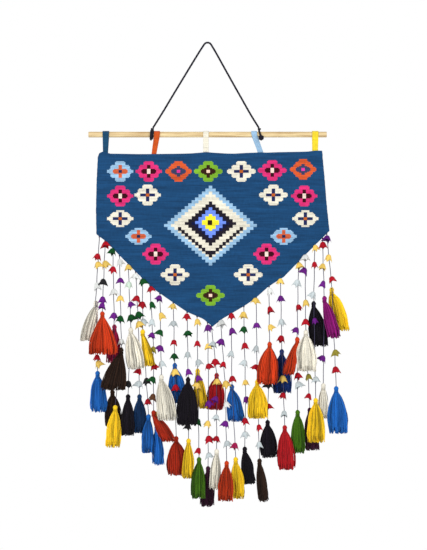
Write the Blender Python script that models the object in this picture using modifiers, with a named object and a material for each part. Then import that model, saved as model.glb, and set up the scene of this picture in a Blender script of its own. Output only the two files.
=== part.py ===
"""Woven wall rug on a dowel: a five-sided flat-woven cloth with cloth tabs, a hanging cord,
and strings with cloth petals and yarn tassels along its two slanted edges.

Frame: +X to the viewer's right, +Y away from the viewer, +Z up, origin where the cord rests on
its nail. The tables are in millimetres: x across, y in depth, and drop, the distance below the nail.
"""
import math
import random

import bmesh
import bpy
from mathutils import Matrix, Vector

MM = 0.001
GAP = 0.3

# Dowel and what is tied or folded over it
DOWEL_LENGTH = 500.0
DOWEL_DIAMETER = 12.0
DOWEL_DROP = 191.0
DOWEL_CHAMFER = 0.8
DOWEL_SIDES = 24

TAB_WIDTH = 12.5
TAB_CLOTH = 1.2
TAB_TAIL = 14.0
TAB_ARC_STEPS = 8

# Woven panel
PANEL_THICKNESS = 3.0
PANEL_COLUMNS = 12
ROW_CUTS = 2
TOP_SAG = 1.4
WAVE_FADE = 60.0

# Strip that carries the strings, parted from the panel's slanted edges
STRIP_RISE = 5.0
STRIP_GAP_RISE = 0.45
TIP_HALF_GAP = 0.4

# Strings and petals
STRING_RADIUS = 1.0
PETAL_REACH = 8.8
PETAL_FRONT = 7.5
PETAL_APEX = 4.0
PETAL_HOLLOW = 1.5
PETAL_CLEAR = 9.0
STRING_OVERLAP = 2.0

# Tassels
LOCKS = 6
LOCK_INSIDE = 0.45
LOCK_HALF_ANGLE = math.radians(22.0)
HEAD_RADIUS = 5.0
HEAD_LENGTH = 13.0
SKIRT_HALF_DEPTH = 7.0
HEM_RAGGED = 3.5
# Columns: share of the head's radius, distance below the head's top
HEAD_PROFILE = ((0.78, HEAD_LENGTH - 2.5), (1.0, 5.5), (0.4, 0.0))
# Columns: share of the skirt's length, half the angle that a lock takes up
LOCK_STEPS = ((0.3, math.radians(25.0)), (1.0, LOCK_HALF_ANGLE))

# Hanging cord and the knots on the dowel
CORD_DIAMETER = 4.2
SPAN_STEPS = 3
KNOB_DROP = 180.0
KNOB_RADIUS = 3.3
TAIL_LENGTH = 13.0

COLOURS = {
    "blue cloth": (0.014, 0.075, 0.205), "wood": (0.72, 0.50, 0.30), "navy cord": (0.01, 0.01, 0.02),
    "grey string": (0.12, 0.11, 0.15), "cream": (0.76, 0.72, 0.62), "orange": (0.68, 0.07, 0.02),
    "magenta": (0.38, 0.01, 0.07), "brown": (0.025, 0.012, 0.008), "yellow": (0.82, 0.55, 0.04),
    "blue": (0.02, 0.09, 0.42), "black": (0.006, 0.005, 0.008), "red": (0.42, 0.012, 0.015),
    "navy": (0.006, 0.012, 0.04), "purple": (0.17, 0.005, 0.13), "plum": (0.03, 0.003, 0.02),
    "teal": (0.006, 0.05, 0.10), "green": (0.07, 0.21, 0.01), "sky": (0.38, 0.60, 0.85),
}

# Columns: left x, left drop, right x, right drop; one row for each weft line where a side turns
OUTLINE = (
    (-220.0, 228.5, 240.5, 226.0),
    (-229.5, 237.0, 241.5, 236.0),
    (-233.0, 288.0, 245.5, 280.0),
    (-234.5, 350.0, 250.5, 340.0),
    (-233.5, 400.5, 256.0, 393.5),
    (-214.5, 414.5, 240.0, 409.0),
    (-181.0, 449.0, 199.0, 450.0),
    (-141.0, 489.0, 160.0, 490.0),
    (-112.5, 516.0, 127.5, 510.5),
    (-69.0, 546.0, 98.0, 537.0),
    (-42.5, 564.0, 73.5, 553.0),
    (-9.5, 578.0, 32.5, 577.0),
    (7.0, 591.5, 14.0, 591.5),
)
SHOULDER_ROW = 4
TIP = (10.5, 594.5)

# Columns: name, x on the dowel, lean to the panel, colour
TABS = (
    ("tab_1", -213.5, -1.0, "blue cloth"),
    ("tab_2", -106.2, -6.5, "orange"),
    ("tab_3", -3.5, 0.0, "cream"),
    ("tab_4", 97.5, 14.0, "sky"),
    ("tab_5", 226.0, 0.0, "yellow"),
)

# Columns: string, root x, knee x, knee drop, foot x, foot y, foot drop, drops of its petals
STRINGS = (
    ("a", -227, -235, 540, -231, 0, 687, (448, 465, 509, 660, 673)),
    ("b", -215, -221, 562, -221, 0, 562, (423, 463, 501, 538, 551)),
    ("c", -199, -196, 590, -200, 4, 727, (436, 475, 522, 572)),
    ("d", -185, -181, 638, -194, 0, 759, (459, 499, 536, 578, 627)),
    ("e", -167, -161, 596, -167, 0, 736, (471, 507, 549, 576, 715)),
    ("f", -151, -145, 601, -143, 0, 736, (490, 536, 570, 590, 688, 715)),
    ("g", -137, -136, 600, -124, 0, 778, (501, 549, 585, 709, 753)),
    ("h", -121, -114, 633, -113, -9, 769, (517, 549, 585, 614, 643, 679, 706, 742)),
    ("i", -100, -97, 695, -107, 0, 801, (536, 572, 608, 641, 673, 780)),
    ("j", -72, -69, 671, -66, 0, 824, (553, 589, 629, 658, 690, 723)),
    ("k", -43, -41, 700, -40, 0, 829, (574, 610, 654, 690, 805)),
    ("l", -22, -21, 683, -18, 0, 868, (585, 631, 671, 704, 719, 795, 856)),
    ("m", 0, 2, 717, 1, 0, 887, (597, 637, 679, 757, 799, 831, 866)),
    ("n", 8, 19, 692, 19, 0, 851, (633, 669, 711, 748, 786, 831)),
    ("o", 27, 37, 715, 40, 0, 876, (583, 627, 675, 715, 759, 799, 841)),
    ("p", 50, 51, 716, 59, 0, 868, (568, 604, 652, 705, 845)),
    ("q", 76, 80, 748, 78, 0, 846, (570, 601, 635, 671, 713, 748, 793, 822)),
    ("r", 102, 104, 705, 109, 0, 871, (541, 593, 641, 681, 807, 843)),
    ("s", 129, 130, 626, 126, 0, 790, (520, 559, 597, 717, 763)),
    ("t", 153, 156, 642, 162, 0, 801, (488, 536, 585, 620, 704, 740, 778)),
    ("u", 191, 188, 616, 189, 0, 769, (467, 503, 555, 603, 698, 717)),
    ("v", 205, 206, 601, 215, 9, 765, (446, 478, 545, 585, 701, 742)),
    ("w", 225, 223, 541, 227, 0, 744, (427, 465, 528, 583, 706)),
    ("x", 241, 245, 530, 243, 0, 713, (423, 469, 505, 662)),
    ("y", 250, 261, 512, 270, 0, 719, (410, 450, 496, 650, 685)),
)

# Columns: string, side of the string or its end, lean, length, hem width, hem y, colour
TASSELS = (
    ("a", "back", -19, 82, 31, 11, "cream"),
    ("b", "end", 3, 87, 66, -30, "orange"),
    ("c", "back", -4, 78, 30, 17, "magenta"),
    ("d", "front", -16, 85, 56, -30, "brown"),
    ("e", "front", 12, 84, 38, -14, "cream"),
    ("g", "front", 16, 74, 21, -18, "yellow"),
    ("i", "front", 13, 92, 40, -20, "cream"),
    ("j", "back", 6, 83, 38, 11, "blue"),
    ("k", "front", -2, 98, 46, -20, "black"),
    ("l", "back", 8, 82, 27, 9, "yellow"),
    ("n", "back", -4, 77, 40, 24, "red"),
    ("p", "back", 9, 76, 36, 11, "blue"),
    ("r", "front", 1, 78, 44, -18, "yellow"),
    ("s", "front", -5, 86, 46, -18, "orange"),
    ("t", "back", 0, 90, 42, 11, "navy"),
    ("u", "front", -18, 76, 28, -22, "orange"),
    ("v", "front", 1, 83, 42, -14, "cream"),
    ("w", "back", 12, 93, 40, 11, "black"),
    ("x", "front", 19, 86, 27, -18, "purple"),
    ("y", "back", 23, 89, 31, 11, "yellow"),
    ("a", "end", 2, 84, 36, 0, "blue"),
    ("c", "end", 1, 78, 37, 20, "brown"),
    ("d", "end", -4, 85, 32, -10, "yellow"),
    ("e", "end", 0, 84, 29, -8, "black"),
    ("f", "end", 1, 80, 31, 8, "teal"),
    ("g", "end", -2, 78, 26, -8, "blue"),
    ("h", "end", 33, 63, 23, -16, "orange"),
    ("i", "end", 3, 82, 26, 8, "blue"),
    ("j", "end", -2, 80, 40, 14, "red"),
    ("k", "end", -1, 82, 26, 5, "yellow"),
    ("l", "end", -2, 84, 31, -8, "green"),
    ("m", "end", -2, 85, 30, 18, "plum"),
    ("n", "end", -4, 82, 23, -6, "cream"),
    ("o", "end", -3, 79, 34, -22, "orange"),
    ("p", "end", 5, 85, 30, 1, "yellow"),
    ("q", "end", 9, 78, 29, 10, "black"),
    ("r", "end", 8, 88, 23, 0, "brown"),
    ("s", "end", 3, 78, 36, 10, "black"),
    ("t", "end", 4, 90, 38, -10, "red"),
    ("u", "end", 2, 89, 31, 5, "green"),
    ("v", "end", 6, 88, 32, 15, "plum"),
    ("w", "end", 1, 90, 38, -9, "yellow"),
    ("x", "end", 0, 73, 23, 10, "cream"),
    ("y", "end", 4, 97, 44, -4, "blue"),
)

# Route of the hanging cord, knot to knot over the nail; columns: x, y, drop
CORD_ROUTE = (
    (-114.7, 0.0, 176.9), (-95.0, 0.0, 145.5), (-76.0, 0.0, 113.8), (-57.0, 0.0, 82.3),
    (-38.0, 0.0, 51.0), (-20.0, 0.0, 21.6), (-10.5, 0.0, 6.8), (-5.5, 0.0, -0.1),
    (0.0, 0.0, -2.1), (5.5, 0.0, -0.1), (10.5, 0.0, 7.2), (19.5, 0.0, 22.6),
    (37.0, 0.0, 54.2), (55.0, 0.0, 86.4), (73.0, 0.0, 118.3), (91.0, 0.0, 150.0),
    (107.7, 0.0, 176.9),
)
KNOT_LEFT_X = -116.6
KNOT_RIGHT_X = 109.6


def at(x, y, drop):
    """The place, in metres, of a point given in millimetres across, in depth and below the nail."""
    return Vector((x * MM, y * MM, -drop * MM))


def between(start, end, share):
    return start + (end - start) * share


def clear_scene():
    for item in list(bpy.data.objects):
        bpy.data.objects.remove(item, do_unlink=True)


def new_collection(name):
    collection = bpy.data.collections.new(name)
    bpy.context.scene.collection.children.link(collection)
    return collection


def make_material(name, roughness=0.9):
    material = bpy.data.materials.get(name)
    if material is None:
        material = bpy.data.materials.new(name)
        material.use_nodes = True
        shader = material.node_tree.nodes["Principled BSDF"]
        shader.inputs["Base Color"].default_value = (*COLOURS[name], 1.0)
        shader.inputs["Roughness"].default_value = roughness
        shader.inputs["Metallic"].default_value = 0.0
    return material


def finish_mesh(bm, name, colour, collection, roughness=0.9):
    """Turns a bmesh into a named object; an open sheet keeps the way that its grid faces."""
    if all(edge.is_manifold for edge in bm.edges):
        bmesh.ops.recalc_face_normals(bm, faces=bm.faces)
    mesh = bpy.data.meshes.new(name)
    bm.to_mesh(mesh)
    bm.free()
    piece = bpy.data.objects.new(name, mesh)
    collection.objects.link(piece)
    mesh.materials.append(make_material(colour, roughness))
    return piece


def thicken(piece, thickness):
    """Gives an open sheet its thickness, half to each side."""
    solidify = piece.modifiers.new("thickness", "SOLIDIFY")
    solidify.thickness = thickness * MM
    solidify.offset = 0.0
    return solidify


# Woven panel

def outline_rows():
    """The outline's rows with evenly spaced rows added between them."""
    rows = []
    for first, second in zip(OUTLINE, OUTLINE[1:]):
        for cut in range(ROW_CUTS):
            rows.append(tuple(between(a, b, cut / ROW_CUTS) for a, b in zip(first, second)))
    return rows + [OUTLINE[-1]]


def wave(x, drop):
    """How far the cloth stands off its plane: nothing at the tabs, a slow wave below them."""
    fade = min(1.0, max(0.0, (drop - OUTLINE[0][1]) / WAVE_FADE))
    slow = 1.5 * math.sin(2.0 * math.pi * x / 190.0 + 0.6)
    cross = 0.8 * math.sin(2.0 * math.pi * (x / 110.0 + drop / 160.0))
    return fade * (slow + cross)


def top_sag(x):
    """The top edge hangs a little lower between two tabs than at them."""
    hangs = [tab_x + lean for _, tab_x, lean, _ in TABS]
    for left, right in zip(hangs, hangs[1:]):
        if left <= x <= right:
            return TOP_SAG * math.sin(math.pi * (x - left) / (right - left))
    return 0.0


def panel_edge_rows():
    """Rows of the panel itself, which ends above the strips along its slanted edges."""
    rows = []
    shoulder = SHOULDER_ROW * ROW_CUTS
    for index, (left, left_drop, right, right_drop) in enumerate(outline_rows()):
        rise = STRIP_RISE + STRIP_GAP_RISE if index >= shoulder else 0.0
        rows.append((left, left_drop - rise, right, right_drop - rise))
    return rows


def make_panel(collection):
    rows = panel_edge_rows()
    last = len(rows) - 1
    bm = bmesh.new()
    bmesh.ops.create_grid(bm, x_segments=PANEL_COLUMNS, y_segments=last, size=0.5)
    for vert in bm.verts:
        across = vert.co.x + 0.5
        row = round((0.5 - vert.co.y) * last)
        left, left_drop, right, right_drop = rows[row]
        x = between(left, right, across)
        drop = between(left_drop, right_drop, across)
        if row == 0:
            drop += top_sag(x)
        vert.co = at(x, wave(x, drop), drop)
    panel = finish_mesh(bm, "woven_panel", "blue cloth", collection)
    thicken(panel, PANEL_THICKNESS)
    return panel


# Dowel and tabs

def make_dowel(collection):
    bm = bmesh.new()
    across = Matrix.Rotation(math.radians(90.0), 4, "Y")
    radius = DOWEL_DIAMETER / 2.0 * MM
    bmesh.ops.create_cone(bm, cap_ends=True, segments=DOWEL_SIDES, radius1=radius, radius2=radius,
                          depth=DOWEL_LENGTH * MM, matrix=Matrix.Translation(at(0, 0, DOWEL_DROP)) @ across)
    ends = [edge for edge in bm.edges if any(len(face.verts) > 4 for face in edge.link_faces)]
    bmesh.ops.bevel(bm, geom=ends, offset=DOWEL_CHAMFER * MM, segments=1, affect="EDGES")
    dowel = finish_mesh(bm, "dowel", "wood", collection, roughness=0.6)
    dowel.data.shade_smooth()
    dowel.data.set_sharp_from_angle(angle=math.radians(30.0))
    return dowel


def panel_top(x):
    """Drop of the panel's top edge at a given place across."""
    left, left_drop, right, right_drop = OUTLINE[0]
    return between(left_drop, right_drop, (x - left) / (right - left)) + top_sag(x)


def tab_path(top):
    """Middle line of a tab in depth and drop: behind the panel, over the dowel and back again."""
    reach = DOWEL_DIAMETER / 2.0 + GAP * 1.5 + TAB_CLOTH / 2.0
    front_tail = PANEL_THICKNESS / 2.0 + GAP + TAB_CLOTH / 2.0
    back_tail = front_tail + TAB_CLOTH + GAP
    path = [(front_tail, top + TAB_TAIL), (front_tail, top - 1.5)]
    for step in range(TAB_ARC_STEPS + 1):
        angle = math.pi * step / TAB_ARC_STEPS
        path.append((-reach * math.cos(angle), DOWEL_DROP - reach * math.sin(angle)))
    return path + [(back_tail, top - 1.5), (back_tail, top + TAB_TAIL)]


def make_tab(name, x, lean, colour, collection):
    top = panel_top(x + lean)
    path = tab_path(top)
    last = len(path) - 1
    bm = bmesh.new()
    bmesh.ops.create_grid(bm, x_segments=1, y_segments=last, size=0.5)
    for vert in bm.verts:
        y, drop = path[round((0.5 - vert.co.y) * last)]
        share = min(1.0, max(0.0, (drop - DOWEL_DROP) / (top - DOWEL_DROP)))
        vert.co = at(x + lean * share + vert.co.x * TAB_WIDTH, y, drop)
    tab = finish_mesh(bm, name, colour, collection)
    thicken(tab, TAB_CLOTH)
    return tab


# Strings with petals

def edge_line(side):
    """Points (x, drop) of one slanted edge from its shoulder to the tip; side is -1 or 1."""
    rows = outline_rows()[SHOULDER_ROW * ROW_CUTS:]
    points = [(row[0], row[1]) if side < 0 else (row[2], row[3]) for row in rows]
    return points + [(TIP[0] + side * TIP_HALF_GAP, TIP[1])]


def edge_drop(x, side):
    """Drop of the slanted edge at a given place across."""
    points = sorted(edge_line(side))
    for (x1, drop1), (x2, drop2) in zip(points, points[1:]):
        if x1 <= x <= x2:
            return between(drop1, drop2, (x - x1) / (x2 - x1))
    return points[0][1]


def make_strip(side, name, collection):
    """A narrow strip of the cloth along one slanted edge."""
    points = edge_line(side)
    last = len(points) - 1
    bm = bmesh.new()
    bmesh.ops.create_grid(bm, x_segments=1, y_segments=last, size=0.5)
    for vert in bm.verts:
        x, drop = points[round((0.5 - vert.co.y) * last)]
        height = drop - (STRIP_RISE if vert.co.x * side < 0.0 else 0.0)
        vert.co = at(x, wave(x, drop), height)
    strip = finish_mesh(bm, name, "grey string", collection)
    thicken(strip, PANEL_THICKNESS)
    return strip


def string_place(row, drop):
    """Where a string is (x, y) at a given drop: straight from root to knee, then to its foot."""
    _, root_x, knee_x, knee_drop, foot_x, foot_y, foot_drop, _ = row
    root_drop = edge_drop(root_x, string_side(row))
    root_y = wave(root_x, root_drop)
    if drop <= knee_drop:
        share = max(0.0, (drop - root_drop) / (knee_drop - root_drop))
        return between(root_x, knee_x, share), between(root_y, 0.0, share)
    share = (drop - knee_drop) / max(1.0, foot_drop - knee_drop)
    return between(knee_x, foot_x, share), between(0.0, foot_y, share)


def string_side(row):
    return -1 if row[1] < TIP[0] else 1


def petal_room(row, drop):
    """Half the way from a string to its nearest neighbour at a drop, less the gap."""
    x = string_place(row, drop)[0]
    others = [other for other in STRINGS if other is not row and other[6] >= drop]
    return min(abs(string_place(other, drop)[0] - x) for other in others) / 2.0 - GAP


def string_rings(row, rng):
    """Four-cornered rings down a string, opened out at each petal: front, right, back, left."""
    knee_drop, foot_drop, petals = row[3], row[6], row[7]
    top = edge_drop(row[1], string_side(row)) - STRING_OVERLAP
    stops = [max(drop, top + PETAL_CLEAR) for drop in petals]
    bends = knee_drop < foot_drop and min(abs(knee_drop - drop) for drop in stops) > PETAL_CLEAR

    def ring(drop, front=(STRING_RADIUS, 0.0), right=(STRING_RADIUS, 0.0), left=(STRING_RADIUS, 0.0),
             turn=0.0):
        x, y = string_place(row, drop)
        return (at(x, y - front[0], drop + front[1]), at(x + right[0], y - turn, drop + right[1]),
                at(x, y + STRING_RADIUS, drop), at(x - left[0], y + turn, drop + left[1]))

    rings = [ring(top)]
    for drop in sorted(stops + [knee_drop] * bends):
        if drop == knee_drop:
            rings.append(ring(drop))
            continue
        room = petal_room(row, drop)
        front = (PETAL_FRONT * rng.uniform(0.8, 1.1), rng.uniform(3.5, 6.5))
        right = (min(room, PETAL_REACH * rng.uniform(0.75, 1.1)), rng.uniform(1.0, 5.0))
        left = (min(room, PETAL_REACH * rng.uniform(0.75, 1.1)), rng.uniform(1.0, 5.0))
        rings.append(ring(drop - PETAL_APEX))
        rings.append(ring(drop, front, right, left, rng.uniform(-0.6, 0.6)))
        rings.append(ring(drop + PETAL_HOLLOW))
    rings.append(ring(foot_drop - GAP))
    return rings


def pull(bm, face, corners, rings):
    """Extrudes a face through rings of places, one place for each of its corners."""
    for ring in rings:
        grown = bmesh.ops.extrude_face_region(bm, geom=[face])
        if any(len(edge.link_faces) > 2 for edge in face.edges):
            bmesh.ops.delete(bm, geom=[face], context="FACES_ONLY")
        face = next(item for item in grown["geom"] if isinstance(item, bmesh.types.BMFace))
        corners = [min(face.verts, key=lambda vert: (vert.co - old.co).length) for old in corners]
        for corner, place in zip(corners, ring):
            corner.co = place


def add_string(bm, rings):
    """A small square pulled down through the rings."""
    made = bmesh.ops.create_circle(bm, cap_ends=True, segments=4, radius=MM)
    corners = sorted(made["verts"], key=lambda vert: math.atan2(vert.co.y, vert.co.x + MM * 0.01))
    for corner, place in zip(corners, rings[0]):
        corner.co = place
    pull(bm, corners[0].link_faces[0], corners, rings[1:])


def make_fringe(side, name, parts, cutters):
    """A strip and the strings that hang from it, joined into one body."""
    rng = random.Random(11 + side)
    strip = make_strip(side, name, parts)
    bm = bmesh.new()
    for row in STRINGS:
        if string_side(row) == side:
            add_string(bm, string_rings(row, rng))
    strings = finish_mesh(bm, name + "_strings", "grey string", cutters)
    join(strip, strings)
    return strip


def join(piece, other):
    """Adds a guide object's shape to a piece, so that the two are one body."""
    other.hide_render = True
    other.display_type = "WIRE"
    union = piece.modifiers.new(other.name, "BOOLEAN")
    union.operation = "UNION"
    union.solver = "EXACT"
    union.use_self = True
    union.object = other


# Tassels

def head_place(row, place):
    """Where the top of a tassel's head is: x, y and drop."""
    _, _, knee_x, knee_drop, foot_x, foot_y, foot_drop, _ = row
    if place == "end":
        return foot_x, foot_y, foot_drop
    offset = STRING_RADIUS + GAP + HEAD_RADIUS
    return knee_x, (-offset if place == "front" else offset), knee_drop


def lock_ring(head, tassel, share, angle, half_angle, ragged):
    """The four corners of a lock at a share of the skirt's length, two outside and two inside."""
    x, y, drop = head
    _, _, lean, length, width, hem_y, _ = tassel
    skirt = length - HEAD_LENGTH
    drift = share ** 0.8
    flare = 1.0 - (1.0 - share) ** 2.2
    half_width = between(HEAD_RADIUS, width / 2.0 / math.cos(LOCK_HALF_ANGLE), flare)
    half_depth = between(HEAD_RADIUS, SKIRT_HALF_DEPTH, flare)
    ring = []
    for reach, turn in ((1.0, -1.0), (1.0, 1.0), (LOCK_INSIDE, 1.0), (LOCK_INSIDE, -1.0)):
        direction = angle + turn * half_angle
        ring.append(at(x + lean * drift + half_width * reach * math.cos(direction),
                       between(y, hem_y, drift) + half_depth * reach * math.sin(direction),
                       drop + HEAD_LENGTH + skirt * share + ragged))
    return ring


def make_head(bm, head):
    """A wrapped head on a six-sided base; gives back the base, which faces down."""
    x, y, drop = head
    made = bmesh.ops.create_circle(bm, cap_ends=True, segments=LOCKS, radius=HEAD_RADIUS * MM,
                                   matrix=Matrix.Translation(at(x, y, drop + HEAD_LENGTH)))
    corners = made["verts"]
    base = corners[0].link_faces[0]
    axis = at(x, y, drop + HEAD_LENGTH)
    rings = [[at(x, y, drop + below) + (corner.co - axis) * share for corner in corners]
             for share, below in HEAD_PROFILE]
    pull(bm, base, corners, rings)
    return base


def make_tassel(tassel, row, collection):
    """A head with its locks drawn down out of its lower end."""
    string, place = tassel[0], tassel[1]
    head = head_place(row, place)
    rng = random.Random(string + place)
    bm = bmesh.new()
    base = make_head(bm, head)
    inset = bmesh.ops.inset_region(bm, faces=[base], thickness=HEAD_RADIUS * (1.0 - LOCK_INSIDE) * MM)
    axis = at(*head)
    for root in inset["faces"]:
        middle = root.calc_center_median() - axis
        angle = math.atan2(middle.y, middle.x)
        ragged = rng.uniform(-HEM_RAGGED, HEM_RAGGED)
        rings = [lock_ring(head, tassel, share, angle, half_angle, ragged * share)
                 for share, half_angle in LOCK_STEPS]
        start = lock_ring(head, tassel, 0.0, angle, math.radians(30.0), 0.0)
        corners = [min(root.verts, key=lambda vert: (vert.co - place_).length) for place_ in start]
        pull(bm, root, corners, rings)
    return finish_mesh(bm, f"tassel_{string}_{place}", tassel[6], collection)


# Hanging cord and its knots

def smooth_route(route):
    """Points read from one smooth curve through the route's own points."""
    points = [Vector(point) for point in route]
    ends = [points[0] * 2.0 - points[1], *points, points[-1] * 2.0 - points[-2]]
    smooth = []
    for before, start, end, after in zip(ends, ends[1:], ends[2:], ends[3:]):
        for step in range(SPAN_STEPS):
            t = step / SPAN_STEPS
            smooth.append(0.5 * (2.0 * start + (end - before) * t
                                 + (2.0 * before - 5.0 * start + 4.0 * end - after) * t ** 2
                                 + (3.0 * start - before - 3.0 * end + after) * t ** 3))
    return smooth + [points[-1]]


def make_cord(collection):
    curve = bpy.data.curves.new("hanger_cord", "CURVE")
    curve.dimensions = "3D"
    curve.bevel_depth = CORD_DIAMETER / 2.0 * MM
    curve.bevel_resolution = 2
    curve.use_fill_caps = True
    points = smooth_route(CORD_ROUTE)
    spline = curve.splines.new("POLY")
    spline.points.add(len(points) - 1)
    for target, point in zip(spline.points, points):
        target.co = (*at(*point), 1.0)
    curve.materials.append(make_material("navy cord"))
    cord = bpy.data.objects.new("hanger_cord", curve)
    collection.objects.link(cord)
    return cord


def take(name, colour, collection):
    """Names the object just added by an operator and moves it to its collection."""
    piece = bpy.context.object
    piece.name = name
    for owner in list(piece.users_collection):
        owner.objects.unlink(piece)
    collection.objects.link(piece)
    piece.data.materials.append(make_material(colour))
    return piece


def add_ball(name, place, radius, cutters):
    bpy.ops.mesh.primitive_uv_sphere_add(segments=8, ring_count=6, radius=radius * MM, location=at(*place))
    return take(name, "navy cord", cutters)


def make_knot(name, x, end, parts, cutters):
    """A turn of the cord round the dowel with a knob on top, and its end: a short tail or a knot."""
    turn_radius = (DOWEL_DIAMETER + CORD_DIAMETER) / 2.0 + GAP
    bpy.ops.mesh.primitive_torus_add(major_segments=14, minor_segments=6, major_radius=turn_radius * MM,
                                     minor_radius=CORD_DIAMETER / 2.0 * MM, location=at(x, 0.0, DOWEL_DROP),
                                     rotation=(0.0, math.radians(90.0), 0.0))
    knot = take(name, "navy cord", parts)
    join(knot, add_ball(name + "_knob", (x, 0.0, KNOB_DROP), KNOB_RADIUS, cutters))
    if end == "knot":
        place = (x + 2.0, -8.2, DOWEL_DROP + 8.0)
        join(knot, add_ball(name + "_end", place, 4.5, cutters))
    else:
        bpy.ops.mesh.primitive_cylinder_add(vertices=8, radius=CORD_DIAMETER / 2.0 * MM * 0.9,
                                            depth=TAIL_LENGTH * MM, location=at(x - 0.4, -9.2, DOWEL_DROP + 8.0))
        join(knot, take(name + "_end", "navy cord", cutters))
    return knot


def main():
    clear_scene()
    parts = new_collection("woven wall rug")
    cutters = new_collection("guides")
    make_dowel(parts)
    for name, x, lean, colour in TABS:
        make_tab(name, x, lean, colour, parts)
    make_panel(parts)
    make_fringe(-1, "fringe_left", parts, cutters)
    make_fringe(1, "fringe_right", parts, cutters)
    rows = {row[0]: row for row in STRINGS}
    for tassel in TASSELS:
        make_tassel(tassel, rows[tassel[0]], parts)
    make_cord(parts)
    make_knot("knot_left", KNOT_LEFT_X, "tail", parts, cutters)
    make_knot("knot_right", KNOT_RIGHT_X, "knot", parts, cutters)


main()
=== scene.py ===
"""Woven wall rug on a dowel: the looks of its cloth, cord, strings, petals and yarn tassels.

The tables are in millimetres: x to the viewer's right, y away from the viewer, and drop, the
distance below the nail that the cord hangs over. Models are in metres in the same frame.
"""

import math
import random

import bpy
from mathutils import Matrix, Vector, noise


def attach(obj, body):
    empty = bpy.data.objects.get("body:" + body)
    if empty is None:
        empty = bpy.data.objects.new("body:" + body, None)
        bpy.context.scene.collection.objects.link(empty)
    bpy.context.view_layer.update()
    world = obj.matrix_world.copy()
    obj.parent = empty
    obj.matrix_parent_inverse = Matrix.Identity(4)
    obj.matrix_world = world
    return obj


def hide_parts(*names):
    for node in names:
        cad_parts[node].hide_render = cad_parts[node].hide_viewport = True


MM = 0.001

# Camera: distance and height of the view in metres, its centre and the sensor in millimetres
VIEW_DISTANCE = 3.5
VIEW_HEIGHT = 1.155
VIEW_CENTRE = (12.4, 485.9)
SENSOR = 36.0

# Wooden dowel and cloth tabs
DOWEL_LENGTH = 500.0
DOWEL_RADIUS = 6.0
DOWEL_DROP = 191.0
DOWEL_ROUNDING = 0.8
TAB_CLOTH = 1.2
TAB_TAIL = 14.0
TAB_REACH = 7.05
TAB_FRONT = 2.4
TAB_BACK = 3.9
TAB_COLUMNS = 9
TAB_BEND_STEPS = 16
TAB_WARPS = 900.0
TAB_WEFTS = 1300.0
TAB_STREAKS = 0.5

# Woven panel
PANEL_THICKNESS = 2.4
PANEL_STREAKS = 0.75
PANEL_SIDES = (-236.0, 257.5)
PANEL_TIP = 10.5
EDGE_WOBBLE = 0.45
CELL = (2.4, 2.067)
PATTERN_CENTRE = (6.1, 382.0)
FLOWER_REACH = (32.0, 26.0)
TOP_DROP = 227.0
TOP_FADE = 22.0
WAVE_FADE = 60.0
# The cloth's waves. Slow: height, length across, start. Cross: height, length across, length down
SLOW_WAVE = (1.5, 190.0, 0.6)
CROSS_WAVE = (0.8, 110.0, 160.0)

# Strings and petals
STRING_RADIUS = 0.85
STRING_ROOT = 2.5
STRING_FOOT = 2.0
STRING_SLACK = 0.35
STRING_PLIES = 420.0
STRING_TONES = (0.85, 1.15)
# Knots on a string: how far below the string's root, or above a petal's place, and the radius
ROOT_KNOT = (3.0, 2.0)
PETAL_KNOT = (1.0, 1.7)
PETAL_CLOTH = 0.45
PETAL_HALF = 13.8
PETAL_RISE = 7.5
PETAL_BELOW_EDGE = 6.0
PETAL_TILT = 0.35
PETAL_NOD = 0.3
PETAL_WIDTHS = (0.82, 1.08)
PETAL_LENGTHS = (0.9, 1.15)
PETAL_TONES = (0.85, 1.12)
PETAL_FORMS = 5
PETAL_CUTS = 7
PETAL_STEPS = 10
PETAL_DROOPS = (10.0, 40.0)
PETAL_TOP_SLOPE = 88.0
PETAL_SIDE_SLOPE = 3.0
PETAL_SHOULDER = 8.0
PETAL_FLARE = 0.12

# How petals are pressed clear of the tassels and the cloth beside them
PRESS_SOFTNESS = 1.5
PRESS_ROOM = (3.0, 2.6)
PRESS_BELOW_HEM = 3.0
NEAR_ACROSS = 60.0
NEAR_ABOVE = 16.0
NEAR_BELOW = 110.0
EDGE_ROOM = 2.2
EDGE_REACH = 7.0
EDGE_FADE = 4.0

# Tassels
HEAD_RADIUS = 5.0
HEAD_BALL = (4.9, 5.9)
HEAD_LENGTH = 13.0
SKIRT_START = HEAD_LENGTH - 2.0
SKIRT_NECK = 3.0
SKIRT_HALF_DEPTH = 7.0
SKIRT_SPREAD = 3.2
TASSEL_PLIES = 170.0
YARN_RADIUS = 0.95
YARN_TURN = 2.39996
YARNS_PER_WIDTH = 3.1
FEWEST_YARNS = 76
MOST_YARNS = 150
YARN_RAGGED = (-5.5, 3.5)
YARN_CURL = 2.0
SHADED_YARNS = 0.28
SHADED_TONE = 0.45
CORE_REACH = 0.46
CORE_WIDTH = 0.8
WRAP_RADIUS = 4.0
WRAP_DROP = 9.8
WRAP_PITCH = 1.45

# Hanging cord
CORD_RADIUS = 2.1
# From knot to knot, in metres
CORD_PLIES = 300.0
ROPE_PITCH = 11.0
ROPE_STRANDS = 3
KNOT_GAP = 0.3
TURN_STEPS = 64
KNOB_STEPS = 60


def dye(red, green, blue):
    """A colour as seen on the cloth, from 0 to 1, turned into the light that it sends back."""
    return tuple(part / 12.92 if part <= 0.04045 else ((part + 0.055) / 1.055) ** 2.4
                 for part in (red, green, blue))


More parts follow.
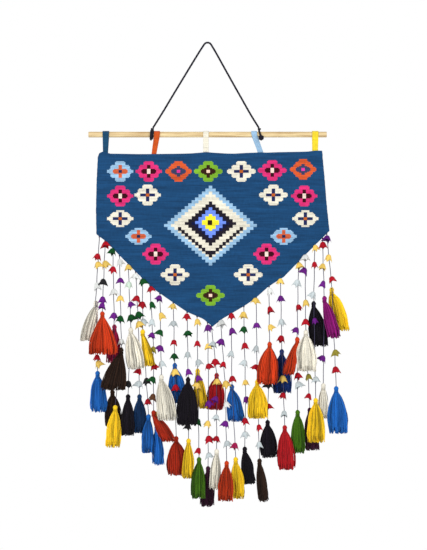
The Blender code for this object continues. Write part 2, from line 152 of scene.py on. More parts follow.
YARNS = {
    "orange": dye(0.77, 0.23, 0.08), "yellow": dye(0.95, 0.79, 0.14), "blue": dye(0.12, 0.41, 0.74),
    "green": dye(0.25, 0.42, 0.06), "cream": dye(0.91, 0.89, 0.83), "black": dye(0.07, 0.05, 0.09),
    "brown": dye(0.18, 0.11, 0.07), "purple": dye(0.52, 0.07, 0.42), "plum": dye(0.22, 0.07, 0.17),
    "red": dye(0.70, 0.10, 0.13), "teal": dye(0.06, 0.20, 0.36), "royal": dye(0.08, 0.20, 0.46),
    "magenta": dye(0.66, 0.10, 0.30), "rust": dye(0.64, 0.16, 0.07),
}

PETALS = {
    "red": dye(0.66, 0.04, 0.12), "straw": dye(0.91, 0.77, 0.38), "white": dye(0.87, 0.88, 0.87),
    "purple": dye(0.40, 0.10, 0.50), "green": dye(0.03, 0.28, 0.11), "black": dye(0.12, 0.12, 0.13),
    "grey": dye(0.74, 0.78, 0.79), "magenta": dye(0.66, 0.10, 0.32), "olive": dye(0.58, 0.54, 0.20),
    "pale": dye(0.78, 0.86, 0.79), "brown": dye(0.33, 0.20, 0.12),
}

WEFTS = {
    "ground": dye(0.088, 0.262, 0.425), "sky": dye(0.57, 0.72, 0.84), "cream": dye(0.88, 0.86, 0.79),
    "ink": dye(0.11, 0.09, 0.14), "deep": dye(0.05, 0.07, 0.25), "iris": dye(0.42, 0.55, 0.92),
    "lemon": dye(0.95, 0.91, 0.20), "brown": dye(0.20, 0.12, 0.03), "pink": dye(0.83, 0.18, 0.44),
    "maroon": dye(0.22, 0.01, 0.07), "orange": dye(0.82, 0.34, 0.17), "slate": dye(0.21, 0.24, 0.37),
    "magenta": dye(0.85, 0.20, 0.58), "green": dye(0.46, 0.66, 0.17), "bark": dye(0.20, 0.10, 0.06),
    "blush": dye(0.95, 0.83, 0.72), "midnight": dye(0.11, 0.15, 0.33), "rust": dye(0.72, 0.36, 0.12),
    "scarlet": dye(0.78, 0.36, 0.22), "white": dye(0.94, 0.84, 0.79),
}

# Each tab's slot and dye
TAB_CLOTHS = {
    "tab_1": ("blue_cloth", dye(0.10, 0.28, 0.41)),
    "tab_2": ("orange", dye(0.80, 0.33, 0.12)),
    "tab_3": ("cream", dye(0.93, 0.91, 0.84)),
    "tab_4": ("sky", dye(0.60, 0.74, 0.86)),
    "tab_5": ("yellow", dye(0.95, 0.84, 0.20)),
}
CORD_DYE = dye(0.10, 0.10, 0.15)
STRING_DYE = dye(0.26, 0.25, 0.34)
WOOD_DARK = dye(0.66, 0.51, 0.30)
WOOD_PALE = dye(0.93, 0.84, 0.64)

# The panel's outline from the top down; columns: left x, left drop, right x, right drop
OUTLINE = (
    (-221.0, 227.0, 240.5, 226.0),
    (-228.0, 230.5, 241.0, 231.0),
    (-230.5, 238.0, 241.6, 238.0),
    (-233.0, 288.0, 245.5, 280.0),
    (-234.5, 350.0, 250.5, 340.0),
    (-233.5, 400.5, 256.0, 393.5),
    (-214.5, 414.5, 240.0, 409.0),
    (-181.0, 449.0, 199.0, 450.0),
    (-141.0, 489.0, 160.0, 490.0),
    (-112.5, 516.0, 127.5, 510.5),
    (-69.0, 546.0, 98.0, 537.0),
    (-42.5, 564.0, 73.5, 553.0),
    (-9.5, 578.0, 32.5, 577.0),
    (7.0, 591.5, 14.0, 591.5),
    (10.0, 594.5, 11.0, 594.5),
)
# The row of OUTLINE where the slanted edges begin
SLANT_START = 5

# The top edge, which sags between the tabs: x, drop
TOP_EDGE = (
    (-221, 227.0), (-214, 228.0), (-204, 231.1), (-187, 231.3), (-145, 232.0), (-103, 231.8), (-61, 231.3),
    (-36, 230.6), (-19, 229.3), (-3, 227.8), (14, 229.2), (40, 230.8), (56, 231.0), (82, 229.5),
    (98, 229.0), (112, 228.4), (124, 229.0), (149, 228.0), (191, 227.2), (211, 226.6), (226, 224.6),
    (241, 224.9),
)

# Columns: name, x on the dowel, lean to the panel, width on the dowel, width at the panel
TABS = (
    ("tab_1", -213.5, -1.0, 13.4, 10.8),
    ("tab_2", -106.2, -6.5, 12.0, 10.2),
    ("tab_3", -3.5, 0.0, 11.6, 11.6),
    ("tab_4", 97.5, 14.0, 12.0, 12.0),
    ("tab_5", 226.0, 0.0, 12.8, 12.2),
)

# Columns: x, drop, shape, petals
FLOWERS = (
    (-184.2, 267.5, "narrow", "sky"),
    (-123.9, 267.5, "narrow", "pink"),
    (-61.3, 267.5, "round", "orange"),
    (1.3, 267.5, "wide", "green"),
    (70.1, 267.5, "wide", "cream"),
    (136.5, 265.9, "wide", "pink"),
    (201.0, 264.2, "round", "orange"),
    (-184.2, 319.0, "narrow", "pink"),
    (-125.6, 317.9, "narrow", "cream"),
    (138.2, 317.9, "wide", "cream"),
    (203.5, 319.0, "narrow", "pink"),
    (-184.2, 367.5, "short", "cream"),
    (205.2, 367.5, "short", "cream"),
    (-146.2, 405.1, "short", "sky"),
    (160.4, 405.1, "short", "sky"),
    (-108.4, 442.9, "narrow", "pink"),
    (123.9, 442.9, "narrow", "pink"),
    (-69.1, 485.9, "wide", "cream"),
    (84.6, 485.9, "wide", "cream"),
    (7.1, 527.9, "wide", "green"),
)

# The cross and the middle of a flower, by its petals
FLOWER_INSIDES = {
    "sky": ("scarlet", "midnight"),
    "pink": ("maroon", "white"),
    "orange": ("slate", "magenta"),
    "green": ("bark", "blush"),
    "cream": ("midnight", "rust"),
}

# Half the width of each shape of flower, in cells, row by row from its middle
FLOWER_SHAPES = {
    "wide": (12, 12, 11, 8, 8, 8, 7, 4, 4, 4, 3),
    "narrow": (11, 11, 9, 8, 8, 8, 7, 4, 4, 4, 3),
    "round": (11, 11, 10, 8, 8, 7, 6, 6, 4, 3, 3),
    "short": (11, 11, 9, 8, 8, 7, 6, 3, 3),
}

# Columns: string, root x, knee x, knee drop, foot x, foot y, foot drop, petals from the top down
STRINGS = (
    ("a", -227, -235, 540, -231, 0, 687,
     ((448, "red"), (465, "straw"), (509, "white"), (660, "red"), (673, "straw"))),
    ("b", -215, -221, 562, -221, 0, 562,
     ((423, "red"), (463, "straw"), (501, "black"), (538, "purple"), (551, "purple"))),
    ("c", -199, -196, 590, -200, 4, 727,
     ((436, "green"), (475, "red"), (522, "white"), (572, "purple"))),
    ("d", -185, -181, 638, -194, 0, 759,
     ((459, "white"), (499, "purple"), (536, "straw"), (578, "green"), (627, "white"))),
    ("e", -167, -161, 596, -167, 0, 736,
     ((471, "straw"), (507, "pale"), (549, "purple"), (576, "green"), (715, "black"))),
    ("f", -151, -145, 601, -143, 0, 736,
     ((490, "white"), (536, "red"), (570, "green"), (590, "straw"), (688, "red"), (715, "grey"))),
    ("g", -137, -136, 600, -124, 0, 778,
     ((501, "green"), (549, "red"), (585, "grey"), (709, "black"), (753, "red"))),
    ("h", -121, -114, 633, -113, -9, 769,
     ((517, "red"), (549, "green"), (585, "grey"), (614, "purple"), (643, "olive"), (679, "red"),
      (706, "green"), (742, "brown"))),
    ("i", -100, -97, 695, -107, 0, 801,
     ((536, "purple"), (572, "straw"), (608, "green"), (641, "purple"), (673, "grey"), (780, "straw"))),
    ("j", -72, -69, 671, -66, 0, 824,
     ((553, "straw"), (589, "grey"), (629, "red"), (658, "green"), (690, "straw"), (723, "red"))),
    ("k", -43, -41, 700, -40, 0, 829,
     ((574, "red"), (610, "green"), (654, "grey"), (690, "purple"), (805, "black"))),
    ("l", -22, -21, 683, -18, 0, 868,
     ((585, "straw"), (631, "red"), (671, "grey"), (704, "purple"), (719, "straw"), (795, "green"),
      (856, "red"))),
    ("m", 0, 2, 717, 1, 0, 887,
     ((597, "purple"), (637, "straw"), (679, "red"), (757, "purple"), (799, "straw"), (831, "red"),
      (866, "grey"))),
    ("n", 8, 19, 692, 19, 0, 851,
     ((633, "grey"), (669, "red"), (711, "straw"), (748, "purple"), (786, "grey"), (831, "red"))),
    ("o", 27, 37, 715, 40, 0, 876,
     ((583, "white"), (627, "purple"), (675, "red"), (715, "straw"), (759, "white"), (799, "purple"),
      (841, "grey"))),
    ("p", 50, 51, 716, 59, 0, 868,
     ((568, "red"), (604, "purple"), (652, "grey"), (705, "red"), (845, "magenta"))),
    ("q", 76, 80, 748, 78, 0, 846,
     ((570, "straw"), (601, "green"), (635, "red"), (671, "grey"), (713, "straw"), (748, "purple"),
      (793, "red"), (822, "grey"))),
    ("r", 102, 104, 705, 109, 0, 871,
     ((541, "straw"), (593, "purple"), (641, "grey"), (681, "red"), (807, "red"), (843, "grey"))),
    ("s", 129, 130, 626, 126, 0, 790,
     ((520, "white"), (559, "red"), (597, "straw"), (717, "black"), (763, "red"))),
    ("t", 153, 156, 642, 162, 0, 801,
     ((488, "straw"), (536, "purple"), (585, "grey"), (620, "red"), (704, "straw"), (740, "red"),
      (778, "grey"))),
    ("u", 191, 188, 616, 189, 0, 769,
     ((467, "straw"), (503, "grey"), (555, "red"), (603, "purple"), (698, "red"), (717, "grey"))),
    ("v", 205, 206, 601, 215, 9, 765,
     ((446, "white"), (478, "purple"), (545, "straw"), (585, "red"), (701, "olive"), (742, "red"))),
    ("w", 225, 223, 541, 227, 0, 744,
     ((427, "straw"), (465, "red"), (528, "grey"), (583, "purple"), (706, "grey"))),
    ("x", 241, 245, 530, 243, 0, 713,
     ((423, "red"), (469, "straw"), (505, "purple"), (662, "purple"))),
    ("y", 250, 261, 512, 270, 0, 719,
     ((410, "purple"), (450, "straw"), (496, "red"), (650, "olive"), (685, "red"))),
)
LEFT_STRINGS = 14

# Columns: string, side of the string or its end, lean, length, hem width, hem y, yarn
TASSELS = (
    ("a", "back", -19, 82, 31, 11, "cream"),
    ("b", "end", 3, 87, 66, -30, "orange"),
    ("c", "back", -4, 78, 30, 17, "magenta"),
    ("d", "front", -16, 85, 56, -30, "brown"),
    ("e", "front", 12, 84, 38, -19, "cream"),
    ("g", "front", 15, 74, 24, -12, "yellow"),
    ("i", "front", 13, 92, 40, -20, "cream"),
    ("j", "back", 6, 83, 38, 11, "blue"),
    ("k", "front", -2, 98, 46, -20, "black"),
    ("l", "back", 8, 82, 27, 9, "yellow"),
    ("n", "back", -4, 77, 40, 24, "red"),
    ("p", "back", 9, 76, 36, 11, "blue"),
    ("r", "front", 1, 78, 44, -18, "yellow"),
    ("s", "front", -5, 86, 46, -18, "orange"),
    ("t", "back", 0, 90, 42, 11, "navy"),
    ("u", "front", -18, 76, 28, -15, "orange"),
    ("v", "front", 1, 83, 44, -20, "cream"),
    ("w", "back", 12, 93, 40, 11, "black"),
    ("x", "front", 19, 86, 27, -18, "purple"),
    ("y", "back", 22, 89, 34, 11, "yellow"),
    ("a", "end", 2, 84, 36, 0, "blue"),
    ("c", "end", 1, 78, 37, 20, "brown"),
    ("d", "end", -4, 85, 32, -10, "yellow"),
    ("e", "end", 0, 84, 29, -8, "black"),
    ("f", "end", 1, 80, 31, 8, "teal"),
    ("g", "end", -2, 78, 26, -8, "blue"),
    ("h", "end", 31, 63, 32, -16, "orange"),
    ("i", "end", 3, 82, 26, 8, "blue"),
    ("j", "end", 2, 82, 45, 17, "red"),
    ("k", "end", -1, 82, 25, 2, "yellow"),
    ("l", "end", -2, 84, 31, -8, "green"),
    ("m", "end", -2, 85, 30, 18, "plum"),
    ("n", "end", -4, 82, 23, -6, "cream"),
    ("o", "end", -3, 79, 34, -25, "orange"),
    ("p", "end", 5, 85, 30, 1, "yellow"),
    ("q", "end", 9, 78, 29, 10, "black"),
    ("r", "end", 8, 88, 23, 0, "brown"),
    ("s", "end", 3, 78, 36, 10, "black"),
    ("t", "end", 4, 90, 38, -10, "red"),
    ("u", "end", 2, 89, 31, 5, "green"),
    ("v", "end", 6, 88, 32, 15, "plum"),
    ("w", "end", 1, 90, 38, -9, "yellow"),
    ("x", "end", 0, 73, 23, 10, "cream"),
    ("y", "end", 4, 97, 44, -4, "blue"),
)

# How fast a tassel's skirt spreads below its head, where it isn't SKIRT_SPREAD
SHOULDERS = {
    ("b", "end"): 1.6, ("d", "front"): 1.6, ("g", "front"): 2.0, ("u", "front"): 1.5,
    ("y", "back"): 5.5,
}

# Tassels whose wool is another batch than their slot's
OTHER_WOOL = {("h", "end"): "rust", ("j", "end"): "rust", ("t", "back"): "royal"}

# The cord from knot to knot over the nail; columns: x, y, drop
CORD_ROUTE = (
    (-114.7, 0.0, 176.9), (-95.0, 0.0, 145.5), (-76.0, 0.0, 113.8), (-57.0, 0.0, 82.3),
    (-38.0, 0.0, 51.0), (-20.0, 0.0, 21.6), (-10.5, 0.0, 6.8), (-5.5, 0.0, -0.1),
    (0.0, 0.0, -2.1), (5.5, 0.0, -0.1), (10.5, 0.0, 7.2), (19.5, 0.0, 22.6),
    (37.0, 0.0, 54.2), (55.0, 0.0, 86.4), (73.0, 0.0, 118.3), (91.0, 0.0, 150.0),
    (107.7, 0.0, 176.9),
)
KNOB_DROP = 180.0

# Columns: name, its turns' x, how far they slant to the right at the top, x of its knob, ending
KNOTS = (
    ("knot_left", (-119.1, -115.3), 0.8, -116.0, "tail"),
    ("knot_right", (110.2,), -2.2, 108.6, "knot"),
)


def at(x, y, drop):
    """The place, in metres, of a point given in millimetres across, in depth and below the nail."""
    return Vector((x * MM, y * MM, -drop * MM))


def between(start, end, share):
    return start + (end - start) * share


def along(points, value):
    """Reads a value from (key, value) points with straight runs between them."""
    for (key, first), (next_key, second) in zip(points, points[1:]):
        if value <= next_key:
            return between(first, second, max(0.0, (value - key) / (next_key - key)))
    return points[-1][1]


def pick(*pieces):
    """Selects these pieces alone and makes the first one active."""
    bpy.ops.object.select_all(action="DESELECT")
    for piece in pieces:
        piece.select_set(True)
    bpy.context.view_layer.objects.active = pieces[0]


def added(name):
    """The object that an operator has just added, under its name."""
    model = bpy.context.object
    model.name = name
    return model


# Camera, floor and light

def add_camera():
    across, drop = VIEW_CENTRE
    bpy.ops.object.camera_add(location=(across * MM, -VIEW_DISTANCE, -drop * MM),
                              rotation=(math.radians(90.0), 0.0, 0.0))
    camera = added("camera")
    camera.data.sensor_width = SENSOR
    camera.data.lens = SENSOR * VIEW_DISTANCE / VIEW_HEIGHT
    camera.data.clip_start = 0.05
    camera.data.clip_end = 50.0
    bpy.context.scene.camera = camera


def add_soft_light(name, place, aim, size, power):
    bpy.ops.object.light_add(type="AREA", location=place)
    lamp = added(name)
    lamp.data.shape = "DISK"
    lamp.data.size = size
    lamp.data.energy = power
    lamp.rotation_euler = (Vector(aim) - Vector(place)).to_track_quat("-Z", "Y").to_euler()


def add_stage():
    bpy.ops.mesh.primitive_circle_add(vertices=96, radius=0.95, fill_type="NGON", location=(0, 0, -1.3))
    floor = added("floor")
    paint = new_material("pale floor")
    surface = paint.node_tree.nodes["Principled BSDF"]
    set_inputs(surface, Base_Color=(0.82, 0.82, 0.82, 1.0), Roughness=0.8)
    floor.data.materials.append(paint)
    middle = (0.0, 0.0, -0.5)
    add_soft_light("key light", (-1.5, -2.4, 0.7), middle, 1.6, 46.0)
    add_soft_light("fill light", (1.9, -2.2, -0.2), middle, 2.2, 26.0)
    add_soft_light("back light", (0.6, 2.6, 0.4), middle, 2.2, 26.0)
    add_world()
    bpy.context.scene.view_settings.view_transform = "Standard"


def add_world():
    """White all round: softer as light than as the background that the camera sees."""
    world = bpy.data.worlds.new("studio")
    bpy.context.scene.world = world
    world.use_nodes = True
    tree = world.node_tree
    sky = tree.nodes["Background"]
    seen = tree.nodes.new("ShaderNodeBackground")
    for background, strength in ((sky, 0.62), (seen, 1.0)):
        set_inputs(background, Color=(1.0, 1.0, 1.0, 1.0), Strength=strength)
    rays = tree.nodes.new("ShaderNodeLightPath")
    pick = tree.nodes.new("ShaderNodeMixShader")
    tree.links.new(rays.outputs["Is Camera Ray"], pick.inputs["Fac"])
    tree.links.new(sky.outputs["Background"], pick.inputs[1])
    tree.links.new(seen.outputs["Background"], pick.inputs[2])
    tree.links.new(pick.outputs["Shader"], tree.nodes["World Output"].inputs["Surface"])


# Materials

def new_material(name):
    material = bpy.data.materials.new(name)
    material.use_nodes = True
    return material


def set_inputs(node, **values):
    """Sets a node's inputs by name, with a low line for each space."""
    for label, value in values.items():
        node.inputs[label.replace("_", " ")].default_value = value


def new_group(name, inputs, outputs):
    """An empty shader group; inputs and outputs are (name, socket type, value) rows."""
    group = bpy.data.node_groups.new(name, "ShaderNodeTree")
    for label, kind, value in inputs:
        socket = group.interface.new_socket(label, in_out="INPUT", socket_type=kind)
        socket.default_value = value
    for label, kind in outputs:
        group.interface.new_socket(label, in_out="OUTPUT", socket_type=kind)
    return group, group.nodes.new("NodeGroupInput"), group.nodes.new("NodeGroupOutput")


def add_math(tree, operation, first, second=0.0, third=0.0):
    node = tree.nodes.new("ShaderNodeMath")
    node.operation = operation
    for socket, value in zip(node.inputs, (first, second, third)):
        if isinstance(value, (int, float)):
            socket.default_value = value
        else:
            tree.links.new(value, socket)
    return node.outputs["Value"]


def add_sum(tree, total, *terms):
    """A total to which each (value, weight) term is added in turn."""
    for value, weight in terms:
        total = add_math(tree, "MULTIPLY_ADD", value, weight, total)
    return total


def add_noise(tree, place, scale, detail=2.0, stretch=(1.0, 1.0, 1.0)):
    mapping = tree.nodes.new("ShaderNodeMapping")
    set_inputs(mapping, Scale=stretch)
    tree.links.new(place, mapping.inputs["Vector"])
    grain = tree.nodes.new("ShaderNodeTexNoise")
    set_inputs(grain, Scale=scale, Detail=detail)
    tree.links.new(mapping.outputs["Vector"], grain.inputs["Vector"])
    return grain.outputs["Fac"]


def add_shade(tree, colour, value):
    """A colour made lighter or darker by a value round 1."""
    shade = tree.nodes.new("ShaderNodeVectorMath")
    shade.operation = "SCALE"
    tree.links.new(colour, shade.inputs[0])
    tree.links.new(value, shade.inputs["Scale"])
    return shade.outputs["Vector"]


def add_bump(tree, height, strength, distance):
    """Lets a height move the surface's normals."""
    bump = tree.nodes.new("ShaderNodeBump")
    set_inputs(bump, Strength=strength, Distance=distance)
    tree.links.new(height, bump.inputs["Height"])
    tree.links.new(bump.outputs["Normal"], tree.nodes["Principled BSDF"].inputs["Normal"])


def add_ripple(tree, value):
    """A row of rounded bumps, one for each whole number that the value passes."""
    return add_math(tree, "ABSOLUTE", add_math(tree, "SINE", add_math(tree, "MULTIPLY", value, math.pi)))


def add_flat_place(tree, layer):
    """A piece's own UV place, whole and as its two parts."""
    uv = tree.nodes.new("ShaderNodeUVMap")
    uv.uv_map = layer
    split = tree.nodes.new("ShaderNodeSeparateXYZ")
    tree.links.new(uv.outputs["UV"], split.inputs["Vector"])
    return uv.outputs["UV"], split.outputs["X"], split.outputs["Y"]


def make_yarn_group():
    """Plied yarn: slanting plies along the strand, loose fibres and uneven dye."""
    group, start, end = new_group(
        "plied yarn",
        (("Dye", "NodeSocketColor", (0.5, 0.5, 0.5, 1.0)), ("Tone", "NodeSocketFloat", 1.0),
         ("Plies per metre", "NodeSocketFloat", TASSEL_PLIES)),
        (("Color", "NodeSocketColor"), ("Height", "NodeSocketFloat")))
    _, around, length = add_flat_place(group, "strand")
    turns = add_math(group, "MULTIPLY", length, start.outputs["Plies per metre"])
    twist = add_sum(group, turns, (around, 2.0))
    ply = add_math(group, "SINE", add_math(group, "MULTIPLY", twist, 2.0 * math.pi))
    place = group.nodes.new("ShaderNodeTexCoord").outputs["Object"]
    fibre = add_noise(group, place, 800.0, 2.0, (1.0, 1.0, 0.06))
    batch = add_noise(group, place, 45.0, 2.0)
    # The ply term also darkens the grooves between the plies a little: painted shade, beside the bump. The
    # Tone input carries painted shade too, for the shaded yarns and the core
    lift = add_sum(group, 0.76, (ply, 0.04), (fibre, 0.36), (batch, 0.20))
    value = add_math(group, "MULTIPLY", lift, start.outputs["Tone"])
    group.links.new(add_shade(group, start.outputs["Dye"], value), end.inputs["Color"])
    group.links.new(add_sum(group, ply, (fibre, 1.6)), end.inputs["Height"])
    return group


def make_weave_group():
    """Flat weave: wefts beaten down over the warps, with streaks where the yarn changes."""
    group, start, end = new_group(
        "flat weave",
        (("Dye", "NodeSocketColor", (0.5, 0.5, 0.5, 1.0)),
         ("Warps per metre", "NodeSocketFloat", 420.0),
         ("Wefts per metre", "NodeSocketFloat", 970.0), ("Streaks", "NodeSocketFloat", 0.3)),
        (("Color", "NodeSocketColor"), ("Height", "NodeSocketFloat")))
    place, across, down = add_flat_place(group, "cloth")
    weft = add_math(group, "MULTIPLY", down, start.outputs["Wefts per metre"])
    row = add_math(group, "FLOOR", weft)
    step = add_math(group, "MULTIPLY", add_math(group, "MODULO", row, 2.0), 0.5)
    warp = add_math(group, "MULTIPLY_ADD", across, start.outputs["Warps per metre"], step)
    knit = add_math(group, "MULTIPLY", add_ripple(group, warp), add_ripple(group, weft))
    fuzz = add_noise(group, place, 1500.0, 3.0)
    passes = add_noise(group, place, 60.0, 3.0, (0.4, 6.0, 1.0))
    bands = add_noise(group, place, 60.0, 2.0, (0.12, 1.6, 1.0))
    warps = add_noise(group, place, 60.0, 2.0, (4.0, 1.5, 1.0))
    uneven = add_sum(group, bands, (warps, 0.5), (passes, 1.3))
    centred = add_math(group, "SUBTRACT", uneven, 1.4)
    streak = add_math(group, "MULTIPLY", centred, start.outputs["Streaks"])
    # The knit term also lightens the thread crowns and darkens the gaps between threads: painted shade,
    # beside the bump
    lift = add_sum(group, 0.86, (knit, 0.14), (fuzz, 0.20))
    value = add_math(group, "ADD", lift, streak)
    group.links.new(add_shade(group, start.outputs["Dye"], value), end.inputs["Color"])
    group.links.new(add_sum(group, knit, (fuzz, 0.35)), end.inputs["Height"])
    return group


def add_group(tree, group, **values):
    node = tree.nodes.new("ShaderNodeGroup")
    node.node_tree = group
    set_inputs(node, **values)
    return node


def add_attribute(tree, name, output):
    node = tree.nodes.new("ShaderNodeAttribute")
    node.attribute_name = name
    return node.outputs[output]


def finish_fabric(material, effect, roughness, sheen, depth, distance):
    """Joins a yarn or weave group to the material's shader, with a bump and a soft nap."""
    tree = material.node_tree
    surface = tree.nodes["Principled BSDF"]
    set_inputs(surface, Roughness=roughness, Specular_IOR_Level=0.12, Sheen_Weight=sheen,
               Sheen_Roughness=0.45)
    tree.links.new(effect.outputs["Color"], surface.inputs["Base Color"])
    add_bump(tree, effect.outputs["Height"], depth, distance)


def make_yarn(name, colour, group, plies=TASSEL_PLIES):
    material = new_material(name)
    tree = material.node_tree
    effect = add_group(tree, group, Dye=(*colour, 1.0), Plies_per_metre=plies)
    tree.links.new(add_attribute(tree, "tone", "Fac"), effect.inputs["Tone"])
    finish_fabric(material, effect, 0.7, 0.04, 0.35, 0.0003)
    return material


def make_cloth(name, colour, group, warps, wefts, streaks):
    """A woven cloth; with no colour of its own it takes the dye laid on its faces."""
    material = new_material(name)
    tree = material.node_tree
    effect = add_group(tree, group, Warps_per_metre=warps, Wefts_per_metre=wefts, Streaks=streaks)
    if colour is None:
        tree.links.new(add_attribute(tree, "dye", "Color"), effect.inputs["Dye"])
    else:
        effect.inputs["Dye"].default_value = (*colour, 1.0)
    finish_fabric(material, effect, 0.85, 0.15, 0.5, 0.0005)
    return material


def make_petal_cloth():
    """Thin cloth whose dye is laid on its faces, with painted shade in soft patches for its creases."""
    material = new_material("petal cloth")
    tree = material.node_tree
    surface = tree.nodes["Principled BSDF"]
    place = tree.nodes.new("ShaderNodeTexCoord").outputs["Object"]
    threads = add_noise(tree, place, 1400.0, 2.0)
    # Painted shade: soft patches lighten and darken the dye where the crumpled cloth's creases fall in
    # shade
    fold_shade = add_noise(tree, place, 160.0, 2.0)
    value = add_sum(tree, 0.62, (threads, 0.3), (fold_shade, 0.5))
    shade = add_shade(tree, add_attribute(tree, "dye", "Color"), value)
    tree.links.new(shade, surface.inputs["Base Color"])
    set_inputs(surface, Roughness=0.7, Specular_IOR_Level=0.15)
    add_bump(tree, threads, 0.3, 0.0004)
    return material


def make_wood(name):
    """Pale sanded wood: fine streaks and short pores along the rod, in broad uneven patches."""
    material = new_material(name)
    tree = material.node_tree
    surface = tree.nodes["Principled BSDF"]
    place = tree.nodes.new("ShaderNodeTexCoord").outputs["Object"]
    streak = add_noise(tree, place, 260.0, 4.0, (0.05, 1.0, 1.0))
    pore = add_noise(tree, place, 900.0, 2.0, (0.03, 1.0, 1.0))
    patch = add_noise(tree, place, 18.0, 2.0)
    mixed = add_sum(tree, streak, (pore, 0.35), (patch, 0.35))
    ramp = tree.nodes.new("ShaderNodeValToRGB")
    stops = zip(ramp.color_ramp.elements, (0.55, 1.0), (WOOD_DARK, WOOD_PALE))
    for stop, position, colour in stops:
        stop.position = position
        stop.color = (*colour, 1.0)
    tree.links.new(mixed, ramp.inputs["Fac"])
    tree.links.new(ramp.outputs["Color"], surface.inputs["Base Color"])
    set_inputs(surface, Roughness=0.55)
    add_bump(tree, mixed, 0.25, 0.0003)
    return material


# Pieces

def keep(piece, material, slot, *nodes):
    """Gives a finished piece its material, lets it ride, and hides what it stands for."""
    piece.data.materials.clear()
    piece.data.materials.append(material)
    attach(piece, "root")
    if nodes:
        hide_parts(*nodes)
    return piece


def apply_modifiers(piece):
    pick(piece)
    for modifier in list(piece.modifiers):
        bpy.ops.object.modifier_apply(modifier=modifier.name)


def thicken(piece, thickness):
    solidify = piece.modifiers.new("thickness", "SOLIDIFY")
    solidify.thickness = thickness * MM
    solidify.offset = 0.0
    apply_modifiers(piece)


def new_piece(name, points, faces, layer, corners):
    """A piece of points and faces, with the UV place of each corner of its faces."""
    mesh = bpy.data.meshes.new(name)
    mesh.from_pydata(points, [], faces)
    mesh.uv_layers.new(name=layer).data.foreach_set("uv", corners)
    mesh.shade_smooth()
    piece = bpy.data.objects.new(name, mesh)
    bpy.context.scene.collection.objects.link(piece)
    return piece


def sew_mesh(name, points, faces, layer, flats):
    """A piece of points and faces; flats gives each point's place on the flat cloth or along the rope."""
    corners = [value for face in faces for index in face for value in flats[index]]
    return new_piece(name, points, faces, layer, corners)


def lay_tone(mesh, tones):
    mesh.attributes.new("tone", "FLOAT", "POINT").data.foreach_set("value", tones)


def lay_dye(mesh, dyes):
    mesh.color_attributes.new("dye", "FLOAT_COLOR", "CORNER").data.foreach_set("color", dyes)


class Pile:
    """Copies of modelled pieces, gathered into one mesh with their tones and dyes."""

    def __init__(self):
        self.points = []
        self.faces = []
        self.strand = []
        self.tone = []
        self.dye = []

    def add(self, master, where, length=0.01, tone=1.0, colour=(1.0, 1.0, 1.0)):
        """One copy; where gives the place of each of the master's points."""
        source = master.data
        around = source.uv_layers[0].data
        first = len(self.points)
        self.points.extend(where(vert.co) for vert in source.vertices)
        for face in source.polygons:
            self.faces.append([first + index for index in face.vertices])
            for loop in face.loop_indices:
                vert = source.vertices[source.loops[loop].vertex_index]
                self.strand.extend((around[loop].uv[0], vert.co.z * length))
                self.dye.extend((*colour, 1.0))
        self.tone.extend([tone] * len(source.vertices))

    def make(self, name):
        piece = new_piece(name, self.points, self.faces, "strand", self.strand)
        lay_tone(piece.data, self.tone)
        lay_dye(piece.data, self.dye)
        return piece


def model_strand(name, sides, rings):
    """A round bar of radius 1 from 0 to 1 along Z, cut into rings so that it can bend."""
    bpy.ops.mesh.primitive_cylinder_add(vertices=sides, radius=1.0, depth=1.0, location=(0.0, 0.0, 0.0))
    strand = added(name)
    bpy.ops.object.mode_set(mode="EDIT")
    bpy.ops.mesh.select_all(action="SELECT")
    bpy.ops.transform.translate(value=(0.0, 0.0, 0.5))
    for ring in range(1, rings):
        bpy.ops.mesh.select_all(action="SELECT")
        bpy.ops.mesh.bisect(plane_co=(0.0, 0.0, ring / rings), plane_no=(0.0, 0.0, 1.0))
    bpy.ops.object.mode_set(mode="OBJECT")
    return strand


def model_ball(name, segments, rings):
    bpy.ops.mesh.primitive_uv_sphere_add(segments=segments, ring_count=rings, radius=1.0)
    return added(name)


def model_coil(name, around, sides, thin):
    """A ring of radius 1 in the XY plane, whose own thickness is a share of it."""
    bpy.ops.mesh.primitive_torus_add(major_segments=around, minor_segments=sides, major_radius=1.0,
                                     minor_radius=thin, generate_uvs=True)
    return added(name)


def model_petal(name, seed):
    """A small square of cloth, threaded at its middle, that droops with four pointed corners."""
    rng = random.Random(seed)
    bpy.ops.mesh.primitive_plane_add(size=2.0)
    petal = added(name)
    bpy.ops.object.mode_set(mode="EDIT")
    bpy.ops.mesh.select_all(action="SELECT")
    bpy.ops.mesh.subdivide(number_cuts=PETAL_CUTS)
    bpy.ops.object.mode_set(mode="OBJECT")
    droops = [math.radians(rng.uniform(*PETAL_DROOPS)) for _ in range(4)]
    for vert in petal.data.vertices:
        reach = math.hypot(vert.co.x, vert.co.y) * PETAL_HALF
        turn = math.atan2(vert.co.y, vert.co.x) % (2.0 * math.pi)
        corner = math.sin(2.0 * turn) ** 2
        droop = droops[int(turn / (math.pi / 2.0)) % 4]
        end = between(math.radians(PETAL_SIDE_SLOPE), droop, corner)
        out, down = 0.0, 0.0
        for step in range(PETAL_STEPS):
            share = min(1.0, reach * (step + 0.5) / PETAL_STEPS / PETAL_SHOULDER)
            slope = between(math.radians(PETAL_TOP_SLOPE), end, share)
            if reach > PETAL_HALF:
                slope += PETAL_FLARE * (step / PETAL_STEPS) ** 3
            out += math.sin(slope) * reach / PETAL_STEPS
            down += math.cos(slope) * reach / PETAL_STEPS
        vert.co = Vector((out * math.cos(turn), out * math.sin(turn), -down)) * MM
    thicken(petal, PETAL_CLOTH)
    return petal


# Woven panel

def wave(x, drop):
    """How far the cloth stands back at a place, in soft waves that die out at its top."""
    fade = min(1.0, max(0.0, (drop - OUTLINE[0][1]) / WAVE_FADE))
    height, across, start = SLOW_WAVE
    slow = height * math.sin(2.0 * math.pi * x / across + start)
    height, across, down = CROSS_WAVE
    cross = height * math.sin(2.0 * math.pi * (x / across + drop / down))
    return fade * (slow + cross)


def panel_top(x):
    """Drop of the panel's top edge at a place across."""
    return along(TOP_EDGE, x)


